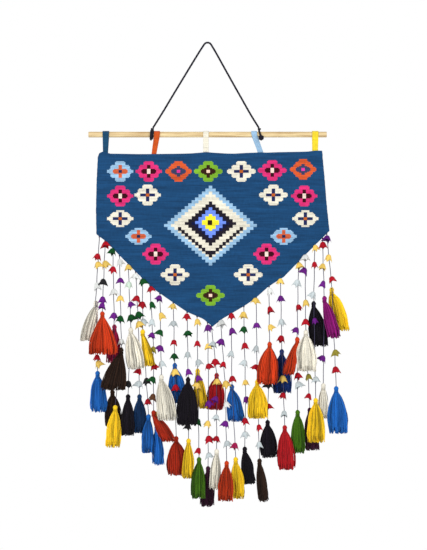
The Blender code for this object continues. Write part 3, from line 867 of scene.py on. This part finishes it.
def flower_weft(column, row, shape, petals):
    """The weft of one flower at a cell counted from its middle, or None outside it."""
    across, down = abs(column), abs(row)
    halves = FLOWER_SHAPES[shape]
    cross, middle = FLOWER_INSIDES[petals]
    if down >= len(halves) or across > halves[down]:
        return None
    if across <= 1 and down <= (2 if petals == "pink" else 1):
        return middle
    if (down <= 1 and across <= 6) or (across <= 1 and down <= (5 if shape == "round" else 6)):
        return cross
    if cross != "midnight" and down <= 2 and across <= 5:
        return cross
    if cross in ("bark", "slate") and down <= 3 and across <= 3:
        return cross
    return petals


def diamond_steps(column, row, middle):
    """How many steps of three cells a cell lies from a diamond's middle row, and its row of steps."""
    across = abs((column + 1) // 3)
    down = (row - middle + 1) // 3
    return across, down, across + abs(down)


def diamond_weft(column, row):
    """The weft of the stepped diamond at a cell counted from its middle, or None outside it."""
    across, down, steps = diamond_steps(column, row, 0)
    if steps > 13:
        return None
    core_down = abs(row + 3)
    if -2 <= column <= 1 and core_down <= 2:
        return "brown"
    if (abs(column) <= 7 and core_down <= 2) or (abs(column) <= 4 and core_down <= 6) \
            or (abs(column) <= 1 and core_down <= 8):
        return "lemon"
    if across * 3.0 + core_down * 0.85 <= 13.5:
        return "iris"
    _, _, shell = diamond_steps(column, row, -2)
    if shell <= 7:
        return "deep" if shell <= 5 else "ink"
    _, upper_down, upper = diamond_steps(column, row - 1, 0)
    if (steps == 10 and down >= 1) or (upper == 10 and upper_down >= 1) or (down == 9 and across <= 1):
        return "ink"
    return "sky" if steps >= 12 else "cream"


def cell_at(x, drop):
    """The column and row of the cell at a place, counted from the middle of the pattern."""
    return round((x - PATTERN_CENTRE[0]) / CELL[0]), round((drop - PATTERN_CENTRE[1]) / CELL[1])


def weft_at(x, drop):
    """The colour name of the weft at a place on the cloth."""
    column, row = cell_at(x, drop)
    found = diamond_weft(column, row)
    for flower_x, flower_drop, *kind in FLOWERS:
        near = abs(flower_x - x) < FLOWER_REACH[0] and abs(flower_drop - drop) < FLOWER_REACH[1]
        if found is None and near:
            middle_column, middle_row = cell_at(flower_x, flower_drop)
            found = flower_weft(column - middle_column, row - middle_row, *kind)
    return found or "ground"


def lattice(low, high, centre, step):
    """Lines between the cells from low to high, with low and high themselves at the ends."""
    first = math.ceil((low - centre) / step + 0.5)
    last = math.floor((high - centre) / step + 0.5)
    inner = [centre + (line - 0.5) * step for line in range(first, last + 1)]
    return [low, *(line for line in inner if low + 0.3 < line < high - 0.3), high]


def make_panel(material):
    """The cloth, cell by cell, each in the dye of its weft."""
    left_side = [(row[1], row[0]) for row in OUTLINE]
    right_side = [(row[3], row[2]) for row in OUTLINE]
    columns = lattice(*PANEL_SIDES, PATTERN_CENTRE[0], CELL[0])
    rows = lattice(TOP_DROP, OUTLINE[-1][1], PATTERN_CENTRE[1], CELL[1])
    points, flats, faces, dyes, seen = [], [], [], [], {}

    def corner(x, drop):
        wobble = EDGE_WOBBLE * noise.noise(Vector((drop * 0.16, 3.1, 0.0)))
        low, high = along(left_side, drop) + wobble, along(right_side, drop) + wobble
        x = min(high, max(low, x))
        key = (round(x, 3), round(drop, 3))
        if key not in seen:
            seen[key] = len(points)
            fade = max(0.0, 1.0 - (drop - TOP_DROP) / TOP_FADE)
            true_drop = drop + (panel_top(x) - TOP_DROP) * fade
            points.append(at(x, wave(x, true_drop), true_drop))
            flats.append((x * MM, -drop * MM))
        return seen[key]

    for top, bottom in zip(rows, rows[1:]):
        for left, right in zip(columns, columns[1:]):
            ring = [corner(left, top), corner(left, bottom), corner(right, bottom), corner(right, top)]
            ring = [index for place, index in enumerate(ring) if index not in ring[:place]]
            if len(ring) > 2:
                faces.append(ring)
                colour = WEFTS[weft_at((left + right) / 2.0, (top + bottom) / 2.0)]
                dyes.extend([*colour, 1.0] * len(ring))
    cloth = sew_mesh("woven_cloth", points, faces, "cloth", flats)
    lay_dye(cloth.data, dyes)
    thicken(cloth, PANEL_THICKNESS)
    return keep(cloth, material, "blue_cloth", "woven_panel")


# Dowel and tabs

def make_rod(material):
    """A plain round rod with slightly worn ends."""
    bpy.ops.mesh.primitive_cylinder_add(vertices=64, radius=DOWEL_RADIUS * MM, depth=DOWEL_LENGTH * MM,
                                        end_fill_type="NGON", location=at(0.0, 0.0, DOWEL_DROP),
                                        rotation=(0.0, math.radians(90.0), 0.0))
    rod = added("wooden_rod")
    bpy.ops.object.transform_apply(location=True, rotation=True, scale=True)
    round_off = rod.modifiers.new("worn ends", "BEVEL")
    round_off.width = DOWEL_ROUNDING * MM
    round_off.segments = 3
    round_off.angle_limit = math.radians(60.0)
    apply_modifiers(rod)
    bpy.ops.object.shade_smooth_by_angle(angle=math.radians(35.0))
    return keep(rod, material, "wood", "dowel")


def tab_path(top):
    """Middle line of a tab in depth and drop, up behind the panel, over the rod and down again."""
    path = [(TAB_FRONT, top + TAB_TAIL), (TAB_FRONT, top + 6.0), (TAB_FRONT, top - 1.5)]
    for step in range(TAB_BEND_STEPS + 1):
        angle = math.pi * step / TAB_BEND_STEPS
        path.append((-TAB_REACH * math.cos(angle), DOWEL_DROP - TAB_REACH * math.sin(angle)))
    return path + [(TAB_BACK, top - 1.5), (TAB_BACK, top + 6.0), (TAB_BACK, top + TAB_TAIL)]


def make_tab(name, x, lean, wide, narrow, material):
    """A strip of cloth folded over the rod, with slightly uneven edges."""
    top = panel_top(x + lean)
    path = tab_path(top)
    points, faces, flats, run = [], [], [], 0.0
    for row, (y, drop) in enumerate(path):
        if row:
            run += math.hypot(y - path[row - 1][0], drop - path[row - 1][1])
        share = min(1.0, max(0.0, (drop - DOWEL_DROP) / (top - DOWEL_DROP)))
        for column in range(TAB_COLUMNS):
            across = column / (TAB_COLUMNS - 1) * 2.0 - 1.0
            width = between(wide, narrow, share) / 2.0 + 0.15 * math.sin(run * 0.55 + column)
            points.append(at(x + lean * share + across * width, y, drop))
            flats.append(((x + across * wide / 2.0) * MM, run * MM))
    for row in range(len(path) - 1):
        for column in range(TAB_COLUMNS - 1):
            first = row * TAB_COLUMNS + column
            faces.append((first, first + 1, first + TAB_COLUMNS + 1, first + TAB_COLUMNS))
    tab = sew_mesh(name + "_loop", points, faces, "cloth", flats)
    thicken(tab, TAB_CLOTH)
    return keep(tab, material, TAB_CLOTHS[name][0], name)


# Strings and petals

def edge_drop(x, side):
    """Drop of the panel's slanted edge at a place across; side is -1 or 1."""
    points = sorted((row[0], row[1]) if side < 0 else (row[2], row[3]) for row in OUTLINE[SLANT_START:])
    return along(points, x)


def string_side(row):
    """-1 for a string of the left slant and 1 for one of the right."""
    return -1 if row[1] < PANEL_TIP else 1


def string_place(row, drop):
    """Where a string is (x, y) at a drop: straight from its root to its knee, then to its foot."""
    _, root_x, knee_x, knee_drop, foot_x, foot_y, foot_drop, _ = row
    root_drop = edge_drop(root_x, string_side(row))
    root_y = wave(root_x, root_drop)
    if drop <= knee_drop:
        share = max(0.0, (drop - root_drop) / (knee_drop - root_drop))
        return between(root_x, knee_x, share), between(root_y, 0.0, share)
    share = (drop - knee_drop) / max(1.0, foot_drop - knee_drop)
    return between(knee_x, foot_x, share), between(0.0, foot_y, share)


def make_strings(name, rows, node, thread, knot, material):
    """Threads from the panel's edge to the lowest tassels, with a small knot under each petal."""
    pile = Pile()
    for row in rows:
        rng = random.Random(row[0])
        phase = rng.uniform(0.0, 6.0)
        root = edge_drop(row[1], string_side(row)) - STRING_ROOT

        def where(co, row=row, root=root, phase=phase):
            drop = between(root, row[6] + STRING_FOOT, co.z)
            x, y = string_place(row, drop)
            slack = STRING_SLACK * math.sin(drop * 0.11 + phase) * min(1.0, 8.0 * co.z * (1.0 - co.z))
            return at(x + slack + co.x * STRING_RADIUS, y + co.y * STRING_RADIUS, drop)

        pile.add(thread, where, (row[6] - root) * MM, rng.uniform(*STRING_TONES))
        above, small = PETAL_KNOT
        ties = [(root + ROOT_KNOT[0], ROOT_KNOT[1])] + [(drop - above, small) for drop, _ in row[7]]
        for drop, size in ties:
            x, y = string_place(row, drop)
            middle = at(x, y, drop)
            pile.add(knot, lambda co, middle=middle, size=size: middle + co * size * MM, 0.004, 0.9)
    return keep(pile.make(name), material, "grey_string", node)


def head_place(row, place):
    """Where a tassel's head is tied: in front of its string, behind it or at its end."""
    _, _, knee_x, knee_drop, foot_x, foot_y, foot_drop, _ = row
    if place == "end":
        return foot_x, foot_y, foot_drop
    offset = 1.3 + HEAD_RADIUS
    return knee_x, (-offset if place == "front" else offset), knee_drop


def skirt_at(tassel, row, share):
    """Middle and half sizes, across and in depth, of a tassel's skirt at a share of its length."""
    string, place, lean, _, width, hem_y, _ = tassel
    x, y, _ = head_place(row, place)
    drift = share ** 0.8
    flare = 1.0 - (1.0 - share) ** SHOULDERS.get((string, place), SKIRT_SPREAD)
    flare *= 1.0 - 0.1 * share ** 4
    return (x + lean * drift, between(y, hem_y, drift), between(SKIRT_NECK, width / 2.0, flare),
            between(SKIRT_NECK, SKIRT_HALF_DEPTH, flare))


def press(depth, limit, side):
    """A depth held softly on one side of a limit; side is -1 in front of it and 1 behind."""
    over = PRESS_SOFTNESS - side * (depth - limit)
    if over <= 0.0:
        return depth
    return limit + side * PRESS_SOFTNESS * math.exp(-over / PRESS_SOFTNESS)


def clear_of_tassels(point, string_y, near):
    """Presses a petal's point out of the tassels that hang close to its string."""
    x, y, drop = point
    for tassel, row in near:
        top = head_place(row, tassel[1])[2] + SKIRT_START
        skirt = tassel[3] - SKIRT_START
        share = min(1.0, max(0.0, (drop - top) / skirt))
        middle_x, middle_y, wide, deep = skirt_at(tassel, row, share)
        wide, deep = wide + PRESS_ROOM[0], deep + PRESS_ROOM[1]
        beside = top - HEAD_LENGTH < drop < top + skirt + PRESS_BELOW_HEM
        if beside and abs(x - middle_x) < wide:
            side = -1 if string_y < middle_y else 1
            y = press(y, middle_y + side * deep * math.sqrt(1.0 - ((x - middle_x) / wide) ** 2), side)
    return y


def tassels_near(row, x, drop, all_rows):
    """The tassels that a petal may hang against, each with its string; its own end tassel isn't one."""
    near = []
    for tassel in TASSELS:
        other = all_rows[tassel[0]]
        head_x, _, head_drop = head_place(other, tassel[1])
        own_end = tassel[0] == row[0] and tassel[1] == "end"
        level = head_drop - NEAR_ABOVE < drop < head_drop + NEAR_BELOW
        if level and abs(head_x - x) < NEAR_ACROSS and not own_end:
            near.append((tassel, other))
    return near


def make_petals(name, rows, all_rows, masters, material):
    """Petals on their strings, pressed clear of the tassels beside them and of the cloth's edge."""
    pile = Pile()
    for row in rows:
        rng = random.Random("petals " + row[0])
        side = string_side(row)
        for drop, colour in row[7]:
            clear = max(drop, edge_drop(row[1], side) + PETAL_BELOW_EDGE)
            x, y = string_place(row, clear)
            turn = Matrix.Rotation(rng.uniform(0.0, 6.283), 4, "Z")
            lean = Matrix.Rotation(rng.uniform(-PETAL_TILT, PETAL_TILT), 4, "Y")
            nod = Matrix.Rotation(rng.uniform(-PETAL_NOD, PETAL_NOD), 4, "X")
            wide = rng.uniform(*PETAL_WIDTHS)
            size = Matrix.Diagonal((wide, wide, rng.uniform(*PETAL_LENGTHS), 1.0))
            placed = Matrix.Translation(at(x, y, clear - PETAL_RISE)) @ lean @ nod @ turn @ size
            near = tassels_near(row, x, clear, all_rows)

            def where(co, placed=placed, near=near, string_y=y, side=side):
                point = placed @ co / MM
                depth = clear_of_tassels((point.x, point.y, -point.z), string_y, near)
                above = edge_drop(point.x, side) + EDGE_REACH + point.z
                on_cloth = min(1.0, max(0.0, above / EDGE_FADE))
                in_front = press(depth, wave(point.x, -point.z) - EDGE_ROOM, -1)
                return at(point.x, between(depth, in_front, on_cloth), -point.z)

            tone = rng.uniform(*PETAL_TONES)
            shade = tuple(part * tone for part in PETALS[colour])
            pile.add(rng.choice(masters), where, 1.0, tone, shade)
    return keep(pile.make(name), material, "red")


# Tassels

def make_tassel(tassel, row, masters, material):
    """Yarn folded over at a round head, wound tight below it, and cut ragged at the hem."""
    string, place, _, length, width, _, yarn = tassel
    strand, ball, coil = masters
    x, y, drop = head_place(row, place)
    rng = random.Random(string + place + "yarn")
    top = drop + SKIRT_START
    skirt = length - SKIRT_START
    clump = rng.uniform(0.0, 50.0)
    count = min(MOST_YARNS, max(FEWEST_YARNS, int(width * YARNS_PER_WIDTH)))
    pile = Pile()
    for index in range(count):
        reach = math.sqrt((index + 0.6) / count)
        turn = index * YARN_TURN + rng.uniform(-0.2, 0.2)
        ragged = rng.uniform(*YARN_RAGGED)
        shadow = SHADED_TONE if rng.random() < SHADED_YARNS else 1.0
        lock = noise.noise(Vector((math.cos(turn) * 1.6, math.sin(turn) * 1.6, clump + reach * 2.0)))
        sway = (rng.uniform(-1.0, 1.0), rng.uniform(-0.6, 0.6), rng.uniform(4.0, 12.0), lock * 9.0)

        def where(co, reach=reach, turn=turn, ragged=ragged, sway=sway):
            share = co.z
            middle_x, middle_y, wide, deep = skirt_at(tassel, row, share)
            curl = math.sin(share * sway[2] + sway[3]) * YARN_CURL * share
            thick = YARN_RADIUS * between(0.8, 1.0, min(1.0, share * 4.0))
            return at(middle_x + wide * reach * math.cos(turn) + sway[0] * curl + co.x * thick,
                      middle_y + deep * reach * math.sin(turn) + sway[1] * curl + co.y * thick,
                      top + (skirt + ragged) * share)

        pile.add(strand, where, skirt * MM, (rng.uniform(0.8, 1.2) + 0.5 * lock) * shadow)

    # A full core under the loose yarn, so that no light shows through the skirt; its tone of 0.8 is
    # painted shade inside the tassel
    def core_point(co):
        share = (1.0 - co.z) * CORE_REACH
        middle_x, middle_y, wide, deep = skirt_at(tassel, row, share)
        full = min(1.0, 2.5 * math.hypot(co.x, co.y)) * CORE_WIDTH
        turn = math.atan2(co.y, co.x)
        return at(middle_x + wide * full * math.cos(turn), middle_y + deep * full * math.sin(turn),
                  top + skirt * share)

    pile.add(ball, core_point, 0.05, 0.8)

    def head_point(co):
        wide, tall = HEAD_BALL
        turn = math.atan2(co.y, co.x)
        fold = 1.0 + 0.07 * math.cos(9.0 * turn) * (1.0 - co.z * co.z)
        wide *= fold * between(1.0, 0.8, max(0.0, -co.z))
        return at(x + co.x * wide, y + co.y * wide, drop + tall - co.z * tall)

    pile.add(ball, head_point, 0.012, rng.uniform(0.9, 1.05))
    for turn in range(3):
        middle = at(x, y, drop + WRAP_DROP + turn * WRAP_PITCH)
        tilt = Matrix.Rotation(rng.uniform(-0.08, 0.08), 3, "X")
        wrap = tilt * WRAP_RADIUS * MM
        pile.add(coil, lambda co, middle=middle, wrap=wrap: middle + wrap @ co, 0.025, 0.8)
    if place != "end":
        side = -1.0 if place == "front" else 1.0
        middle = at(x, y - side * 3.1, drop + 0.6)
        flat = Matrix.Diagonal((2.3, 5.6, 3.6))
        pile.add(coil, lambda co, middle=middle, flat=flat: middle + flat @ co * MM, 0.025, 0.85)
    piece = pile.make(f"yarn_tassel_{string}_{place}")
    return keep(piece, material, yarn, f"tassel_{string}_{place}")


# Hanging cord

def smooth_line(route, steps):
    """Points read from one smooth curve through the route's own points."""
    points = [Vector(point) for point in route]
    ends = [points[0] * 2.0 - points[1], *points, points[-1] * 2.0 - points[-2]]
    smooth = []
    for before, start, end, after in zip(ends, ends[1:], ends[2:], ends[3:]):
        for step in range(steps):
            t = step / steps
            smooth.append(0.5 * (2.0 * start + (end - before) * t
                                 + (2.0 * before - 5.0 * start + 4.0 * end - after) * t ** 2
                                 + (3.0 * start - before - 3.0 * end + after) * t ** 3))
    return [at(*point) for point in smooth + [points[-1]]]


def rope_mesh(name, line, radius, sides=18, closed=False):
    """A laid rope: its lobes wind round the line that it follows."""
    points, faces, flats, run = [], [], [], 0.0
    count = len(line)
    steep = abs((line[1] - line[0]).normalized().y) >= 0.7
    side = Vector((1.0, 0.0, 0.0)) if steep else Vector((0.0, 1.0, 0.0))
    for index, place in enumerate(line):
        if index:
            run += (place - line[index - 1]).length
        after, before = (index + 1) % count, index - 1
        if not closed:
            after, before = min(index + 1, count - 1), max(index - 1, 0)
        ahead = (line[after] - line[before]).normalized()
        side = (side - ahead * side.dot(ahead)).normalized()
        up = ahead.cross(side)
        for corner in range(sides):
            turn = 2.0 * math.pi * corner / sides
            wind = turn * ROPE_STRANDS / 2.0 - run / (ROPE_PITCH * MM) * math.pi * ROPE_STRANDS
            lobe = radius * MM * (0.84 + 0.16 * abs(math.cos(wind)))
            points.append(place + (side * math.cos(turn) + up * math.sin(turn)) * lobe)
            flats.append((corner / sides, run))
    turns = count if closed else count - 1
    for index in range(turns):
        here = index * sides
        ahead = ((index + 1) % count) * sides
        for corner in range(sides):
            beside = (corner + 1) % sides
            faces.append((here + corner, here + beside, ahead + beside, ahead + corner))
    if not closed:
        faces.append(tuple(reversed(range(sides))))
        faces.append(tuple(range((count - 1) * sides, count * sides)))
    rope = sew_mesh(name, points, faces, "strand", flats)
    lay_tone(rope.data, [1.0] * len(points))
    return rope


def join_pieces(name, pieces):
    pick(*pieces)
    bpy.ops.object.join()
    pieces[0].name = name
    return pieces[0]


def knot_line(middle, size, tip=0.0):
    """A closed line that passes over and under itself like a pulled-tight overhand knot."""
    line = []
    tipped = Matrix.Rotation(tip, 3, "Y")
    for step in range(KNOB_STEPS):
        t = 2.0 * math.pi * step / KNOB_STEPS
        place = Vector((math.sin(t) + 1.6 * math.sin(2.0 * t), -1.3 * math.sin(3.0 * t),
                        math.cos(t) - 1.6 * math.cos(2.0 * t)))
        line.append(middle + tipped @ place * size * MM / 2.6)
    return line


def make_knot(name, turns, slant, knob_x, ending, material):
    """Turns of the cord round the rod, a tight knot on top, and a loose end or a second knot in front."""
    reach = DOWEL_RADIUS + CORD_RADIUS + KNOT_GAP
    knob = knot_line(at(knob_x, 0.0, KNOB_DROP), 2.3)
    parts = [rope_mesh(name + "_knob", knob, 1.5, 12, True)]
    for x in turns:
        turn = []
        for step in range(TURN_STEPS):
            angle = 2.0 * math.pi * step / TURN_STEPS
            turn.append(at(x + slant * math.sin(angle), -reach * math.cos(angle),
                           DOWEL_DROP - reach * math.sin(angle)))
        parts.append(rope_mesh(name + "_turn", turn, CORD_RADIUS, 16, True))
    x = turns[-1]
    if ending == "knot":
        for tip in (0.0, math.radians(180.0)):
            end = knot_line(at(x + 2.0, -9.6, DOWEL_DROP + 7.4), 3.9, tip)
            parts.append(rope_mesh(name + "_end", end, 2.3, 12, True))
    else:
        route = ((x - 1.9, -8.8, DOWEL_DROP - 1.0), (x - 2.5, -10.4, DOWEL_DROP + 4.0),
                 (x - 3.1, -10.6, DOWEL_DROP + 9.0), (x - 3.5, -9.8, DOWEL_DROP + 13.0))
        parts.append(rope_mesh(name + "_tail", smooth_line(route, 8), CORD_RADIUS, 14))
    return keep(join_pieces(name + "_rope", parts), material, "navy_cord", name)


def make_cord(material, knots):
    """The cord from one knot over the nail to the other."""
    line = smooth_line(CORD_ROUTE, 14)
    cord = rope_mesh("hanging_cord", line, CORD_RADIUS)
    return keep(cord, material, "navy_cord", "hanger_cord")


def make_fringe(rows, string_yarn, petal_cloth):
    """The strings and petals of both sides, one piece each for a side."""
    thread = model_strand("thread master", 6, 44)
    knot = model_ball("knot master", 8, 5)
    petals = [model_petal(f"petal master {seed}", seed) for seed in range(PETAL_FORMS)]
    fringe = []
    for side, side_rows in (("left", STRINGS[:LEFT_STRINGS]), ("right", STRINGS[LEFT_STRINGS:])):
        node = "fringe_" + side
        fringe.append(make_strings("strings_" + side, side_rows, node, thread, knot, string_yarn))
        fringe.append(make_petals("petals_" + side, side_rows, rows, petals, petal_cloth))
    remove_masters(thread, knot, *petals)
    return fringe


def make_tassels(rows, yarn):
    """Every tassel, a piece of its own, in its wool."""
    masters = (model_strand("yarn master", 4, 7), model_ball("head master", 27, 12),
               model_coil("wrap master", 20, 6, 0.2))
    wools = {name: make_yarn(name + " wool", colour, yarn) for name, colour in YARNS.items()}
    for tassel in TASSELS:
        wool = wools[OTHER_WOOL.get(tassel[:2], tassel[6])]
        make_tassel(tassel, rows[tassel[0]], masters, wool)
    remove_masters(*masters)


def remove_masters(*masters):
    """Takes away the modelled pieces that the piles were copied from."""
    for master in masters:
        bpy.data.objects.remove(master, do_unlink=True)


def make_hanging():
    """Every piece of the rug, from the cord down to the tassels."""
    yarn = make_yarn_group()
    weave = make_weave_group()
    cord_yarn = make_yarn("navy cord yarn", CORD_DYE, yarn, CORD_PLIES)
    make_cord(cord_yarn, [make_knot(*row, cord_yarn) for row in KNOTS])
    make_rod(make_wood("sanded dowel wood"))
    for name, *shape in TABS:
        cloth = make_cloth(name + " cloth", TAB_CLOTHS[name][1], weave, TAB_WARPS, TAB_WEFTS, TAB_STREAKS)
        make_tab(name, *shape, cloth)
    wool = make_cloth("flat-woven wool", None, weave, 1000.0 / CELL[0], 1000.0 / CELL[1], PANEL_STREAKS)
    cloth = make_panel(wool)
    rows = {row[0]: row for row in STRINGS}
    string_yarn = make_yarn("grey string yarn", STRING_DYE, yarn, STRING_PLIES)
    fringe = make_fringe(rows, string_yarn, make_petal_cloth())
    make_tassels(rows, yarn)


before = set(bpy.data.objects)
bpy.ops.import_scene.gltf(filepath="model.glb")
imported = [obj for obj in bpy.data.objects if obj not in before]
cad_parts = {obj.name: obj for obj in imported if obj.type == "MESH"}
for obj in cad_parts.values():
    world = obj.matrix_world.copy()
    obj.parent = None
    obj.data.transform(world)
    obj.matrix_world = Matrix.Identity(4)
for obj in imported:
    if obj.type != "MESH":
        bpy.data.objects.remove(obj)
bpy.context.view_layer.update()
add_camera()
add_stage()
make_hanging()
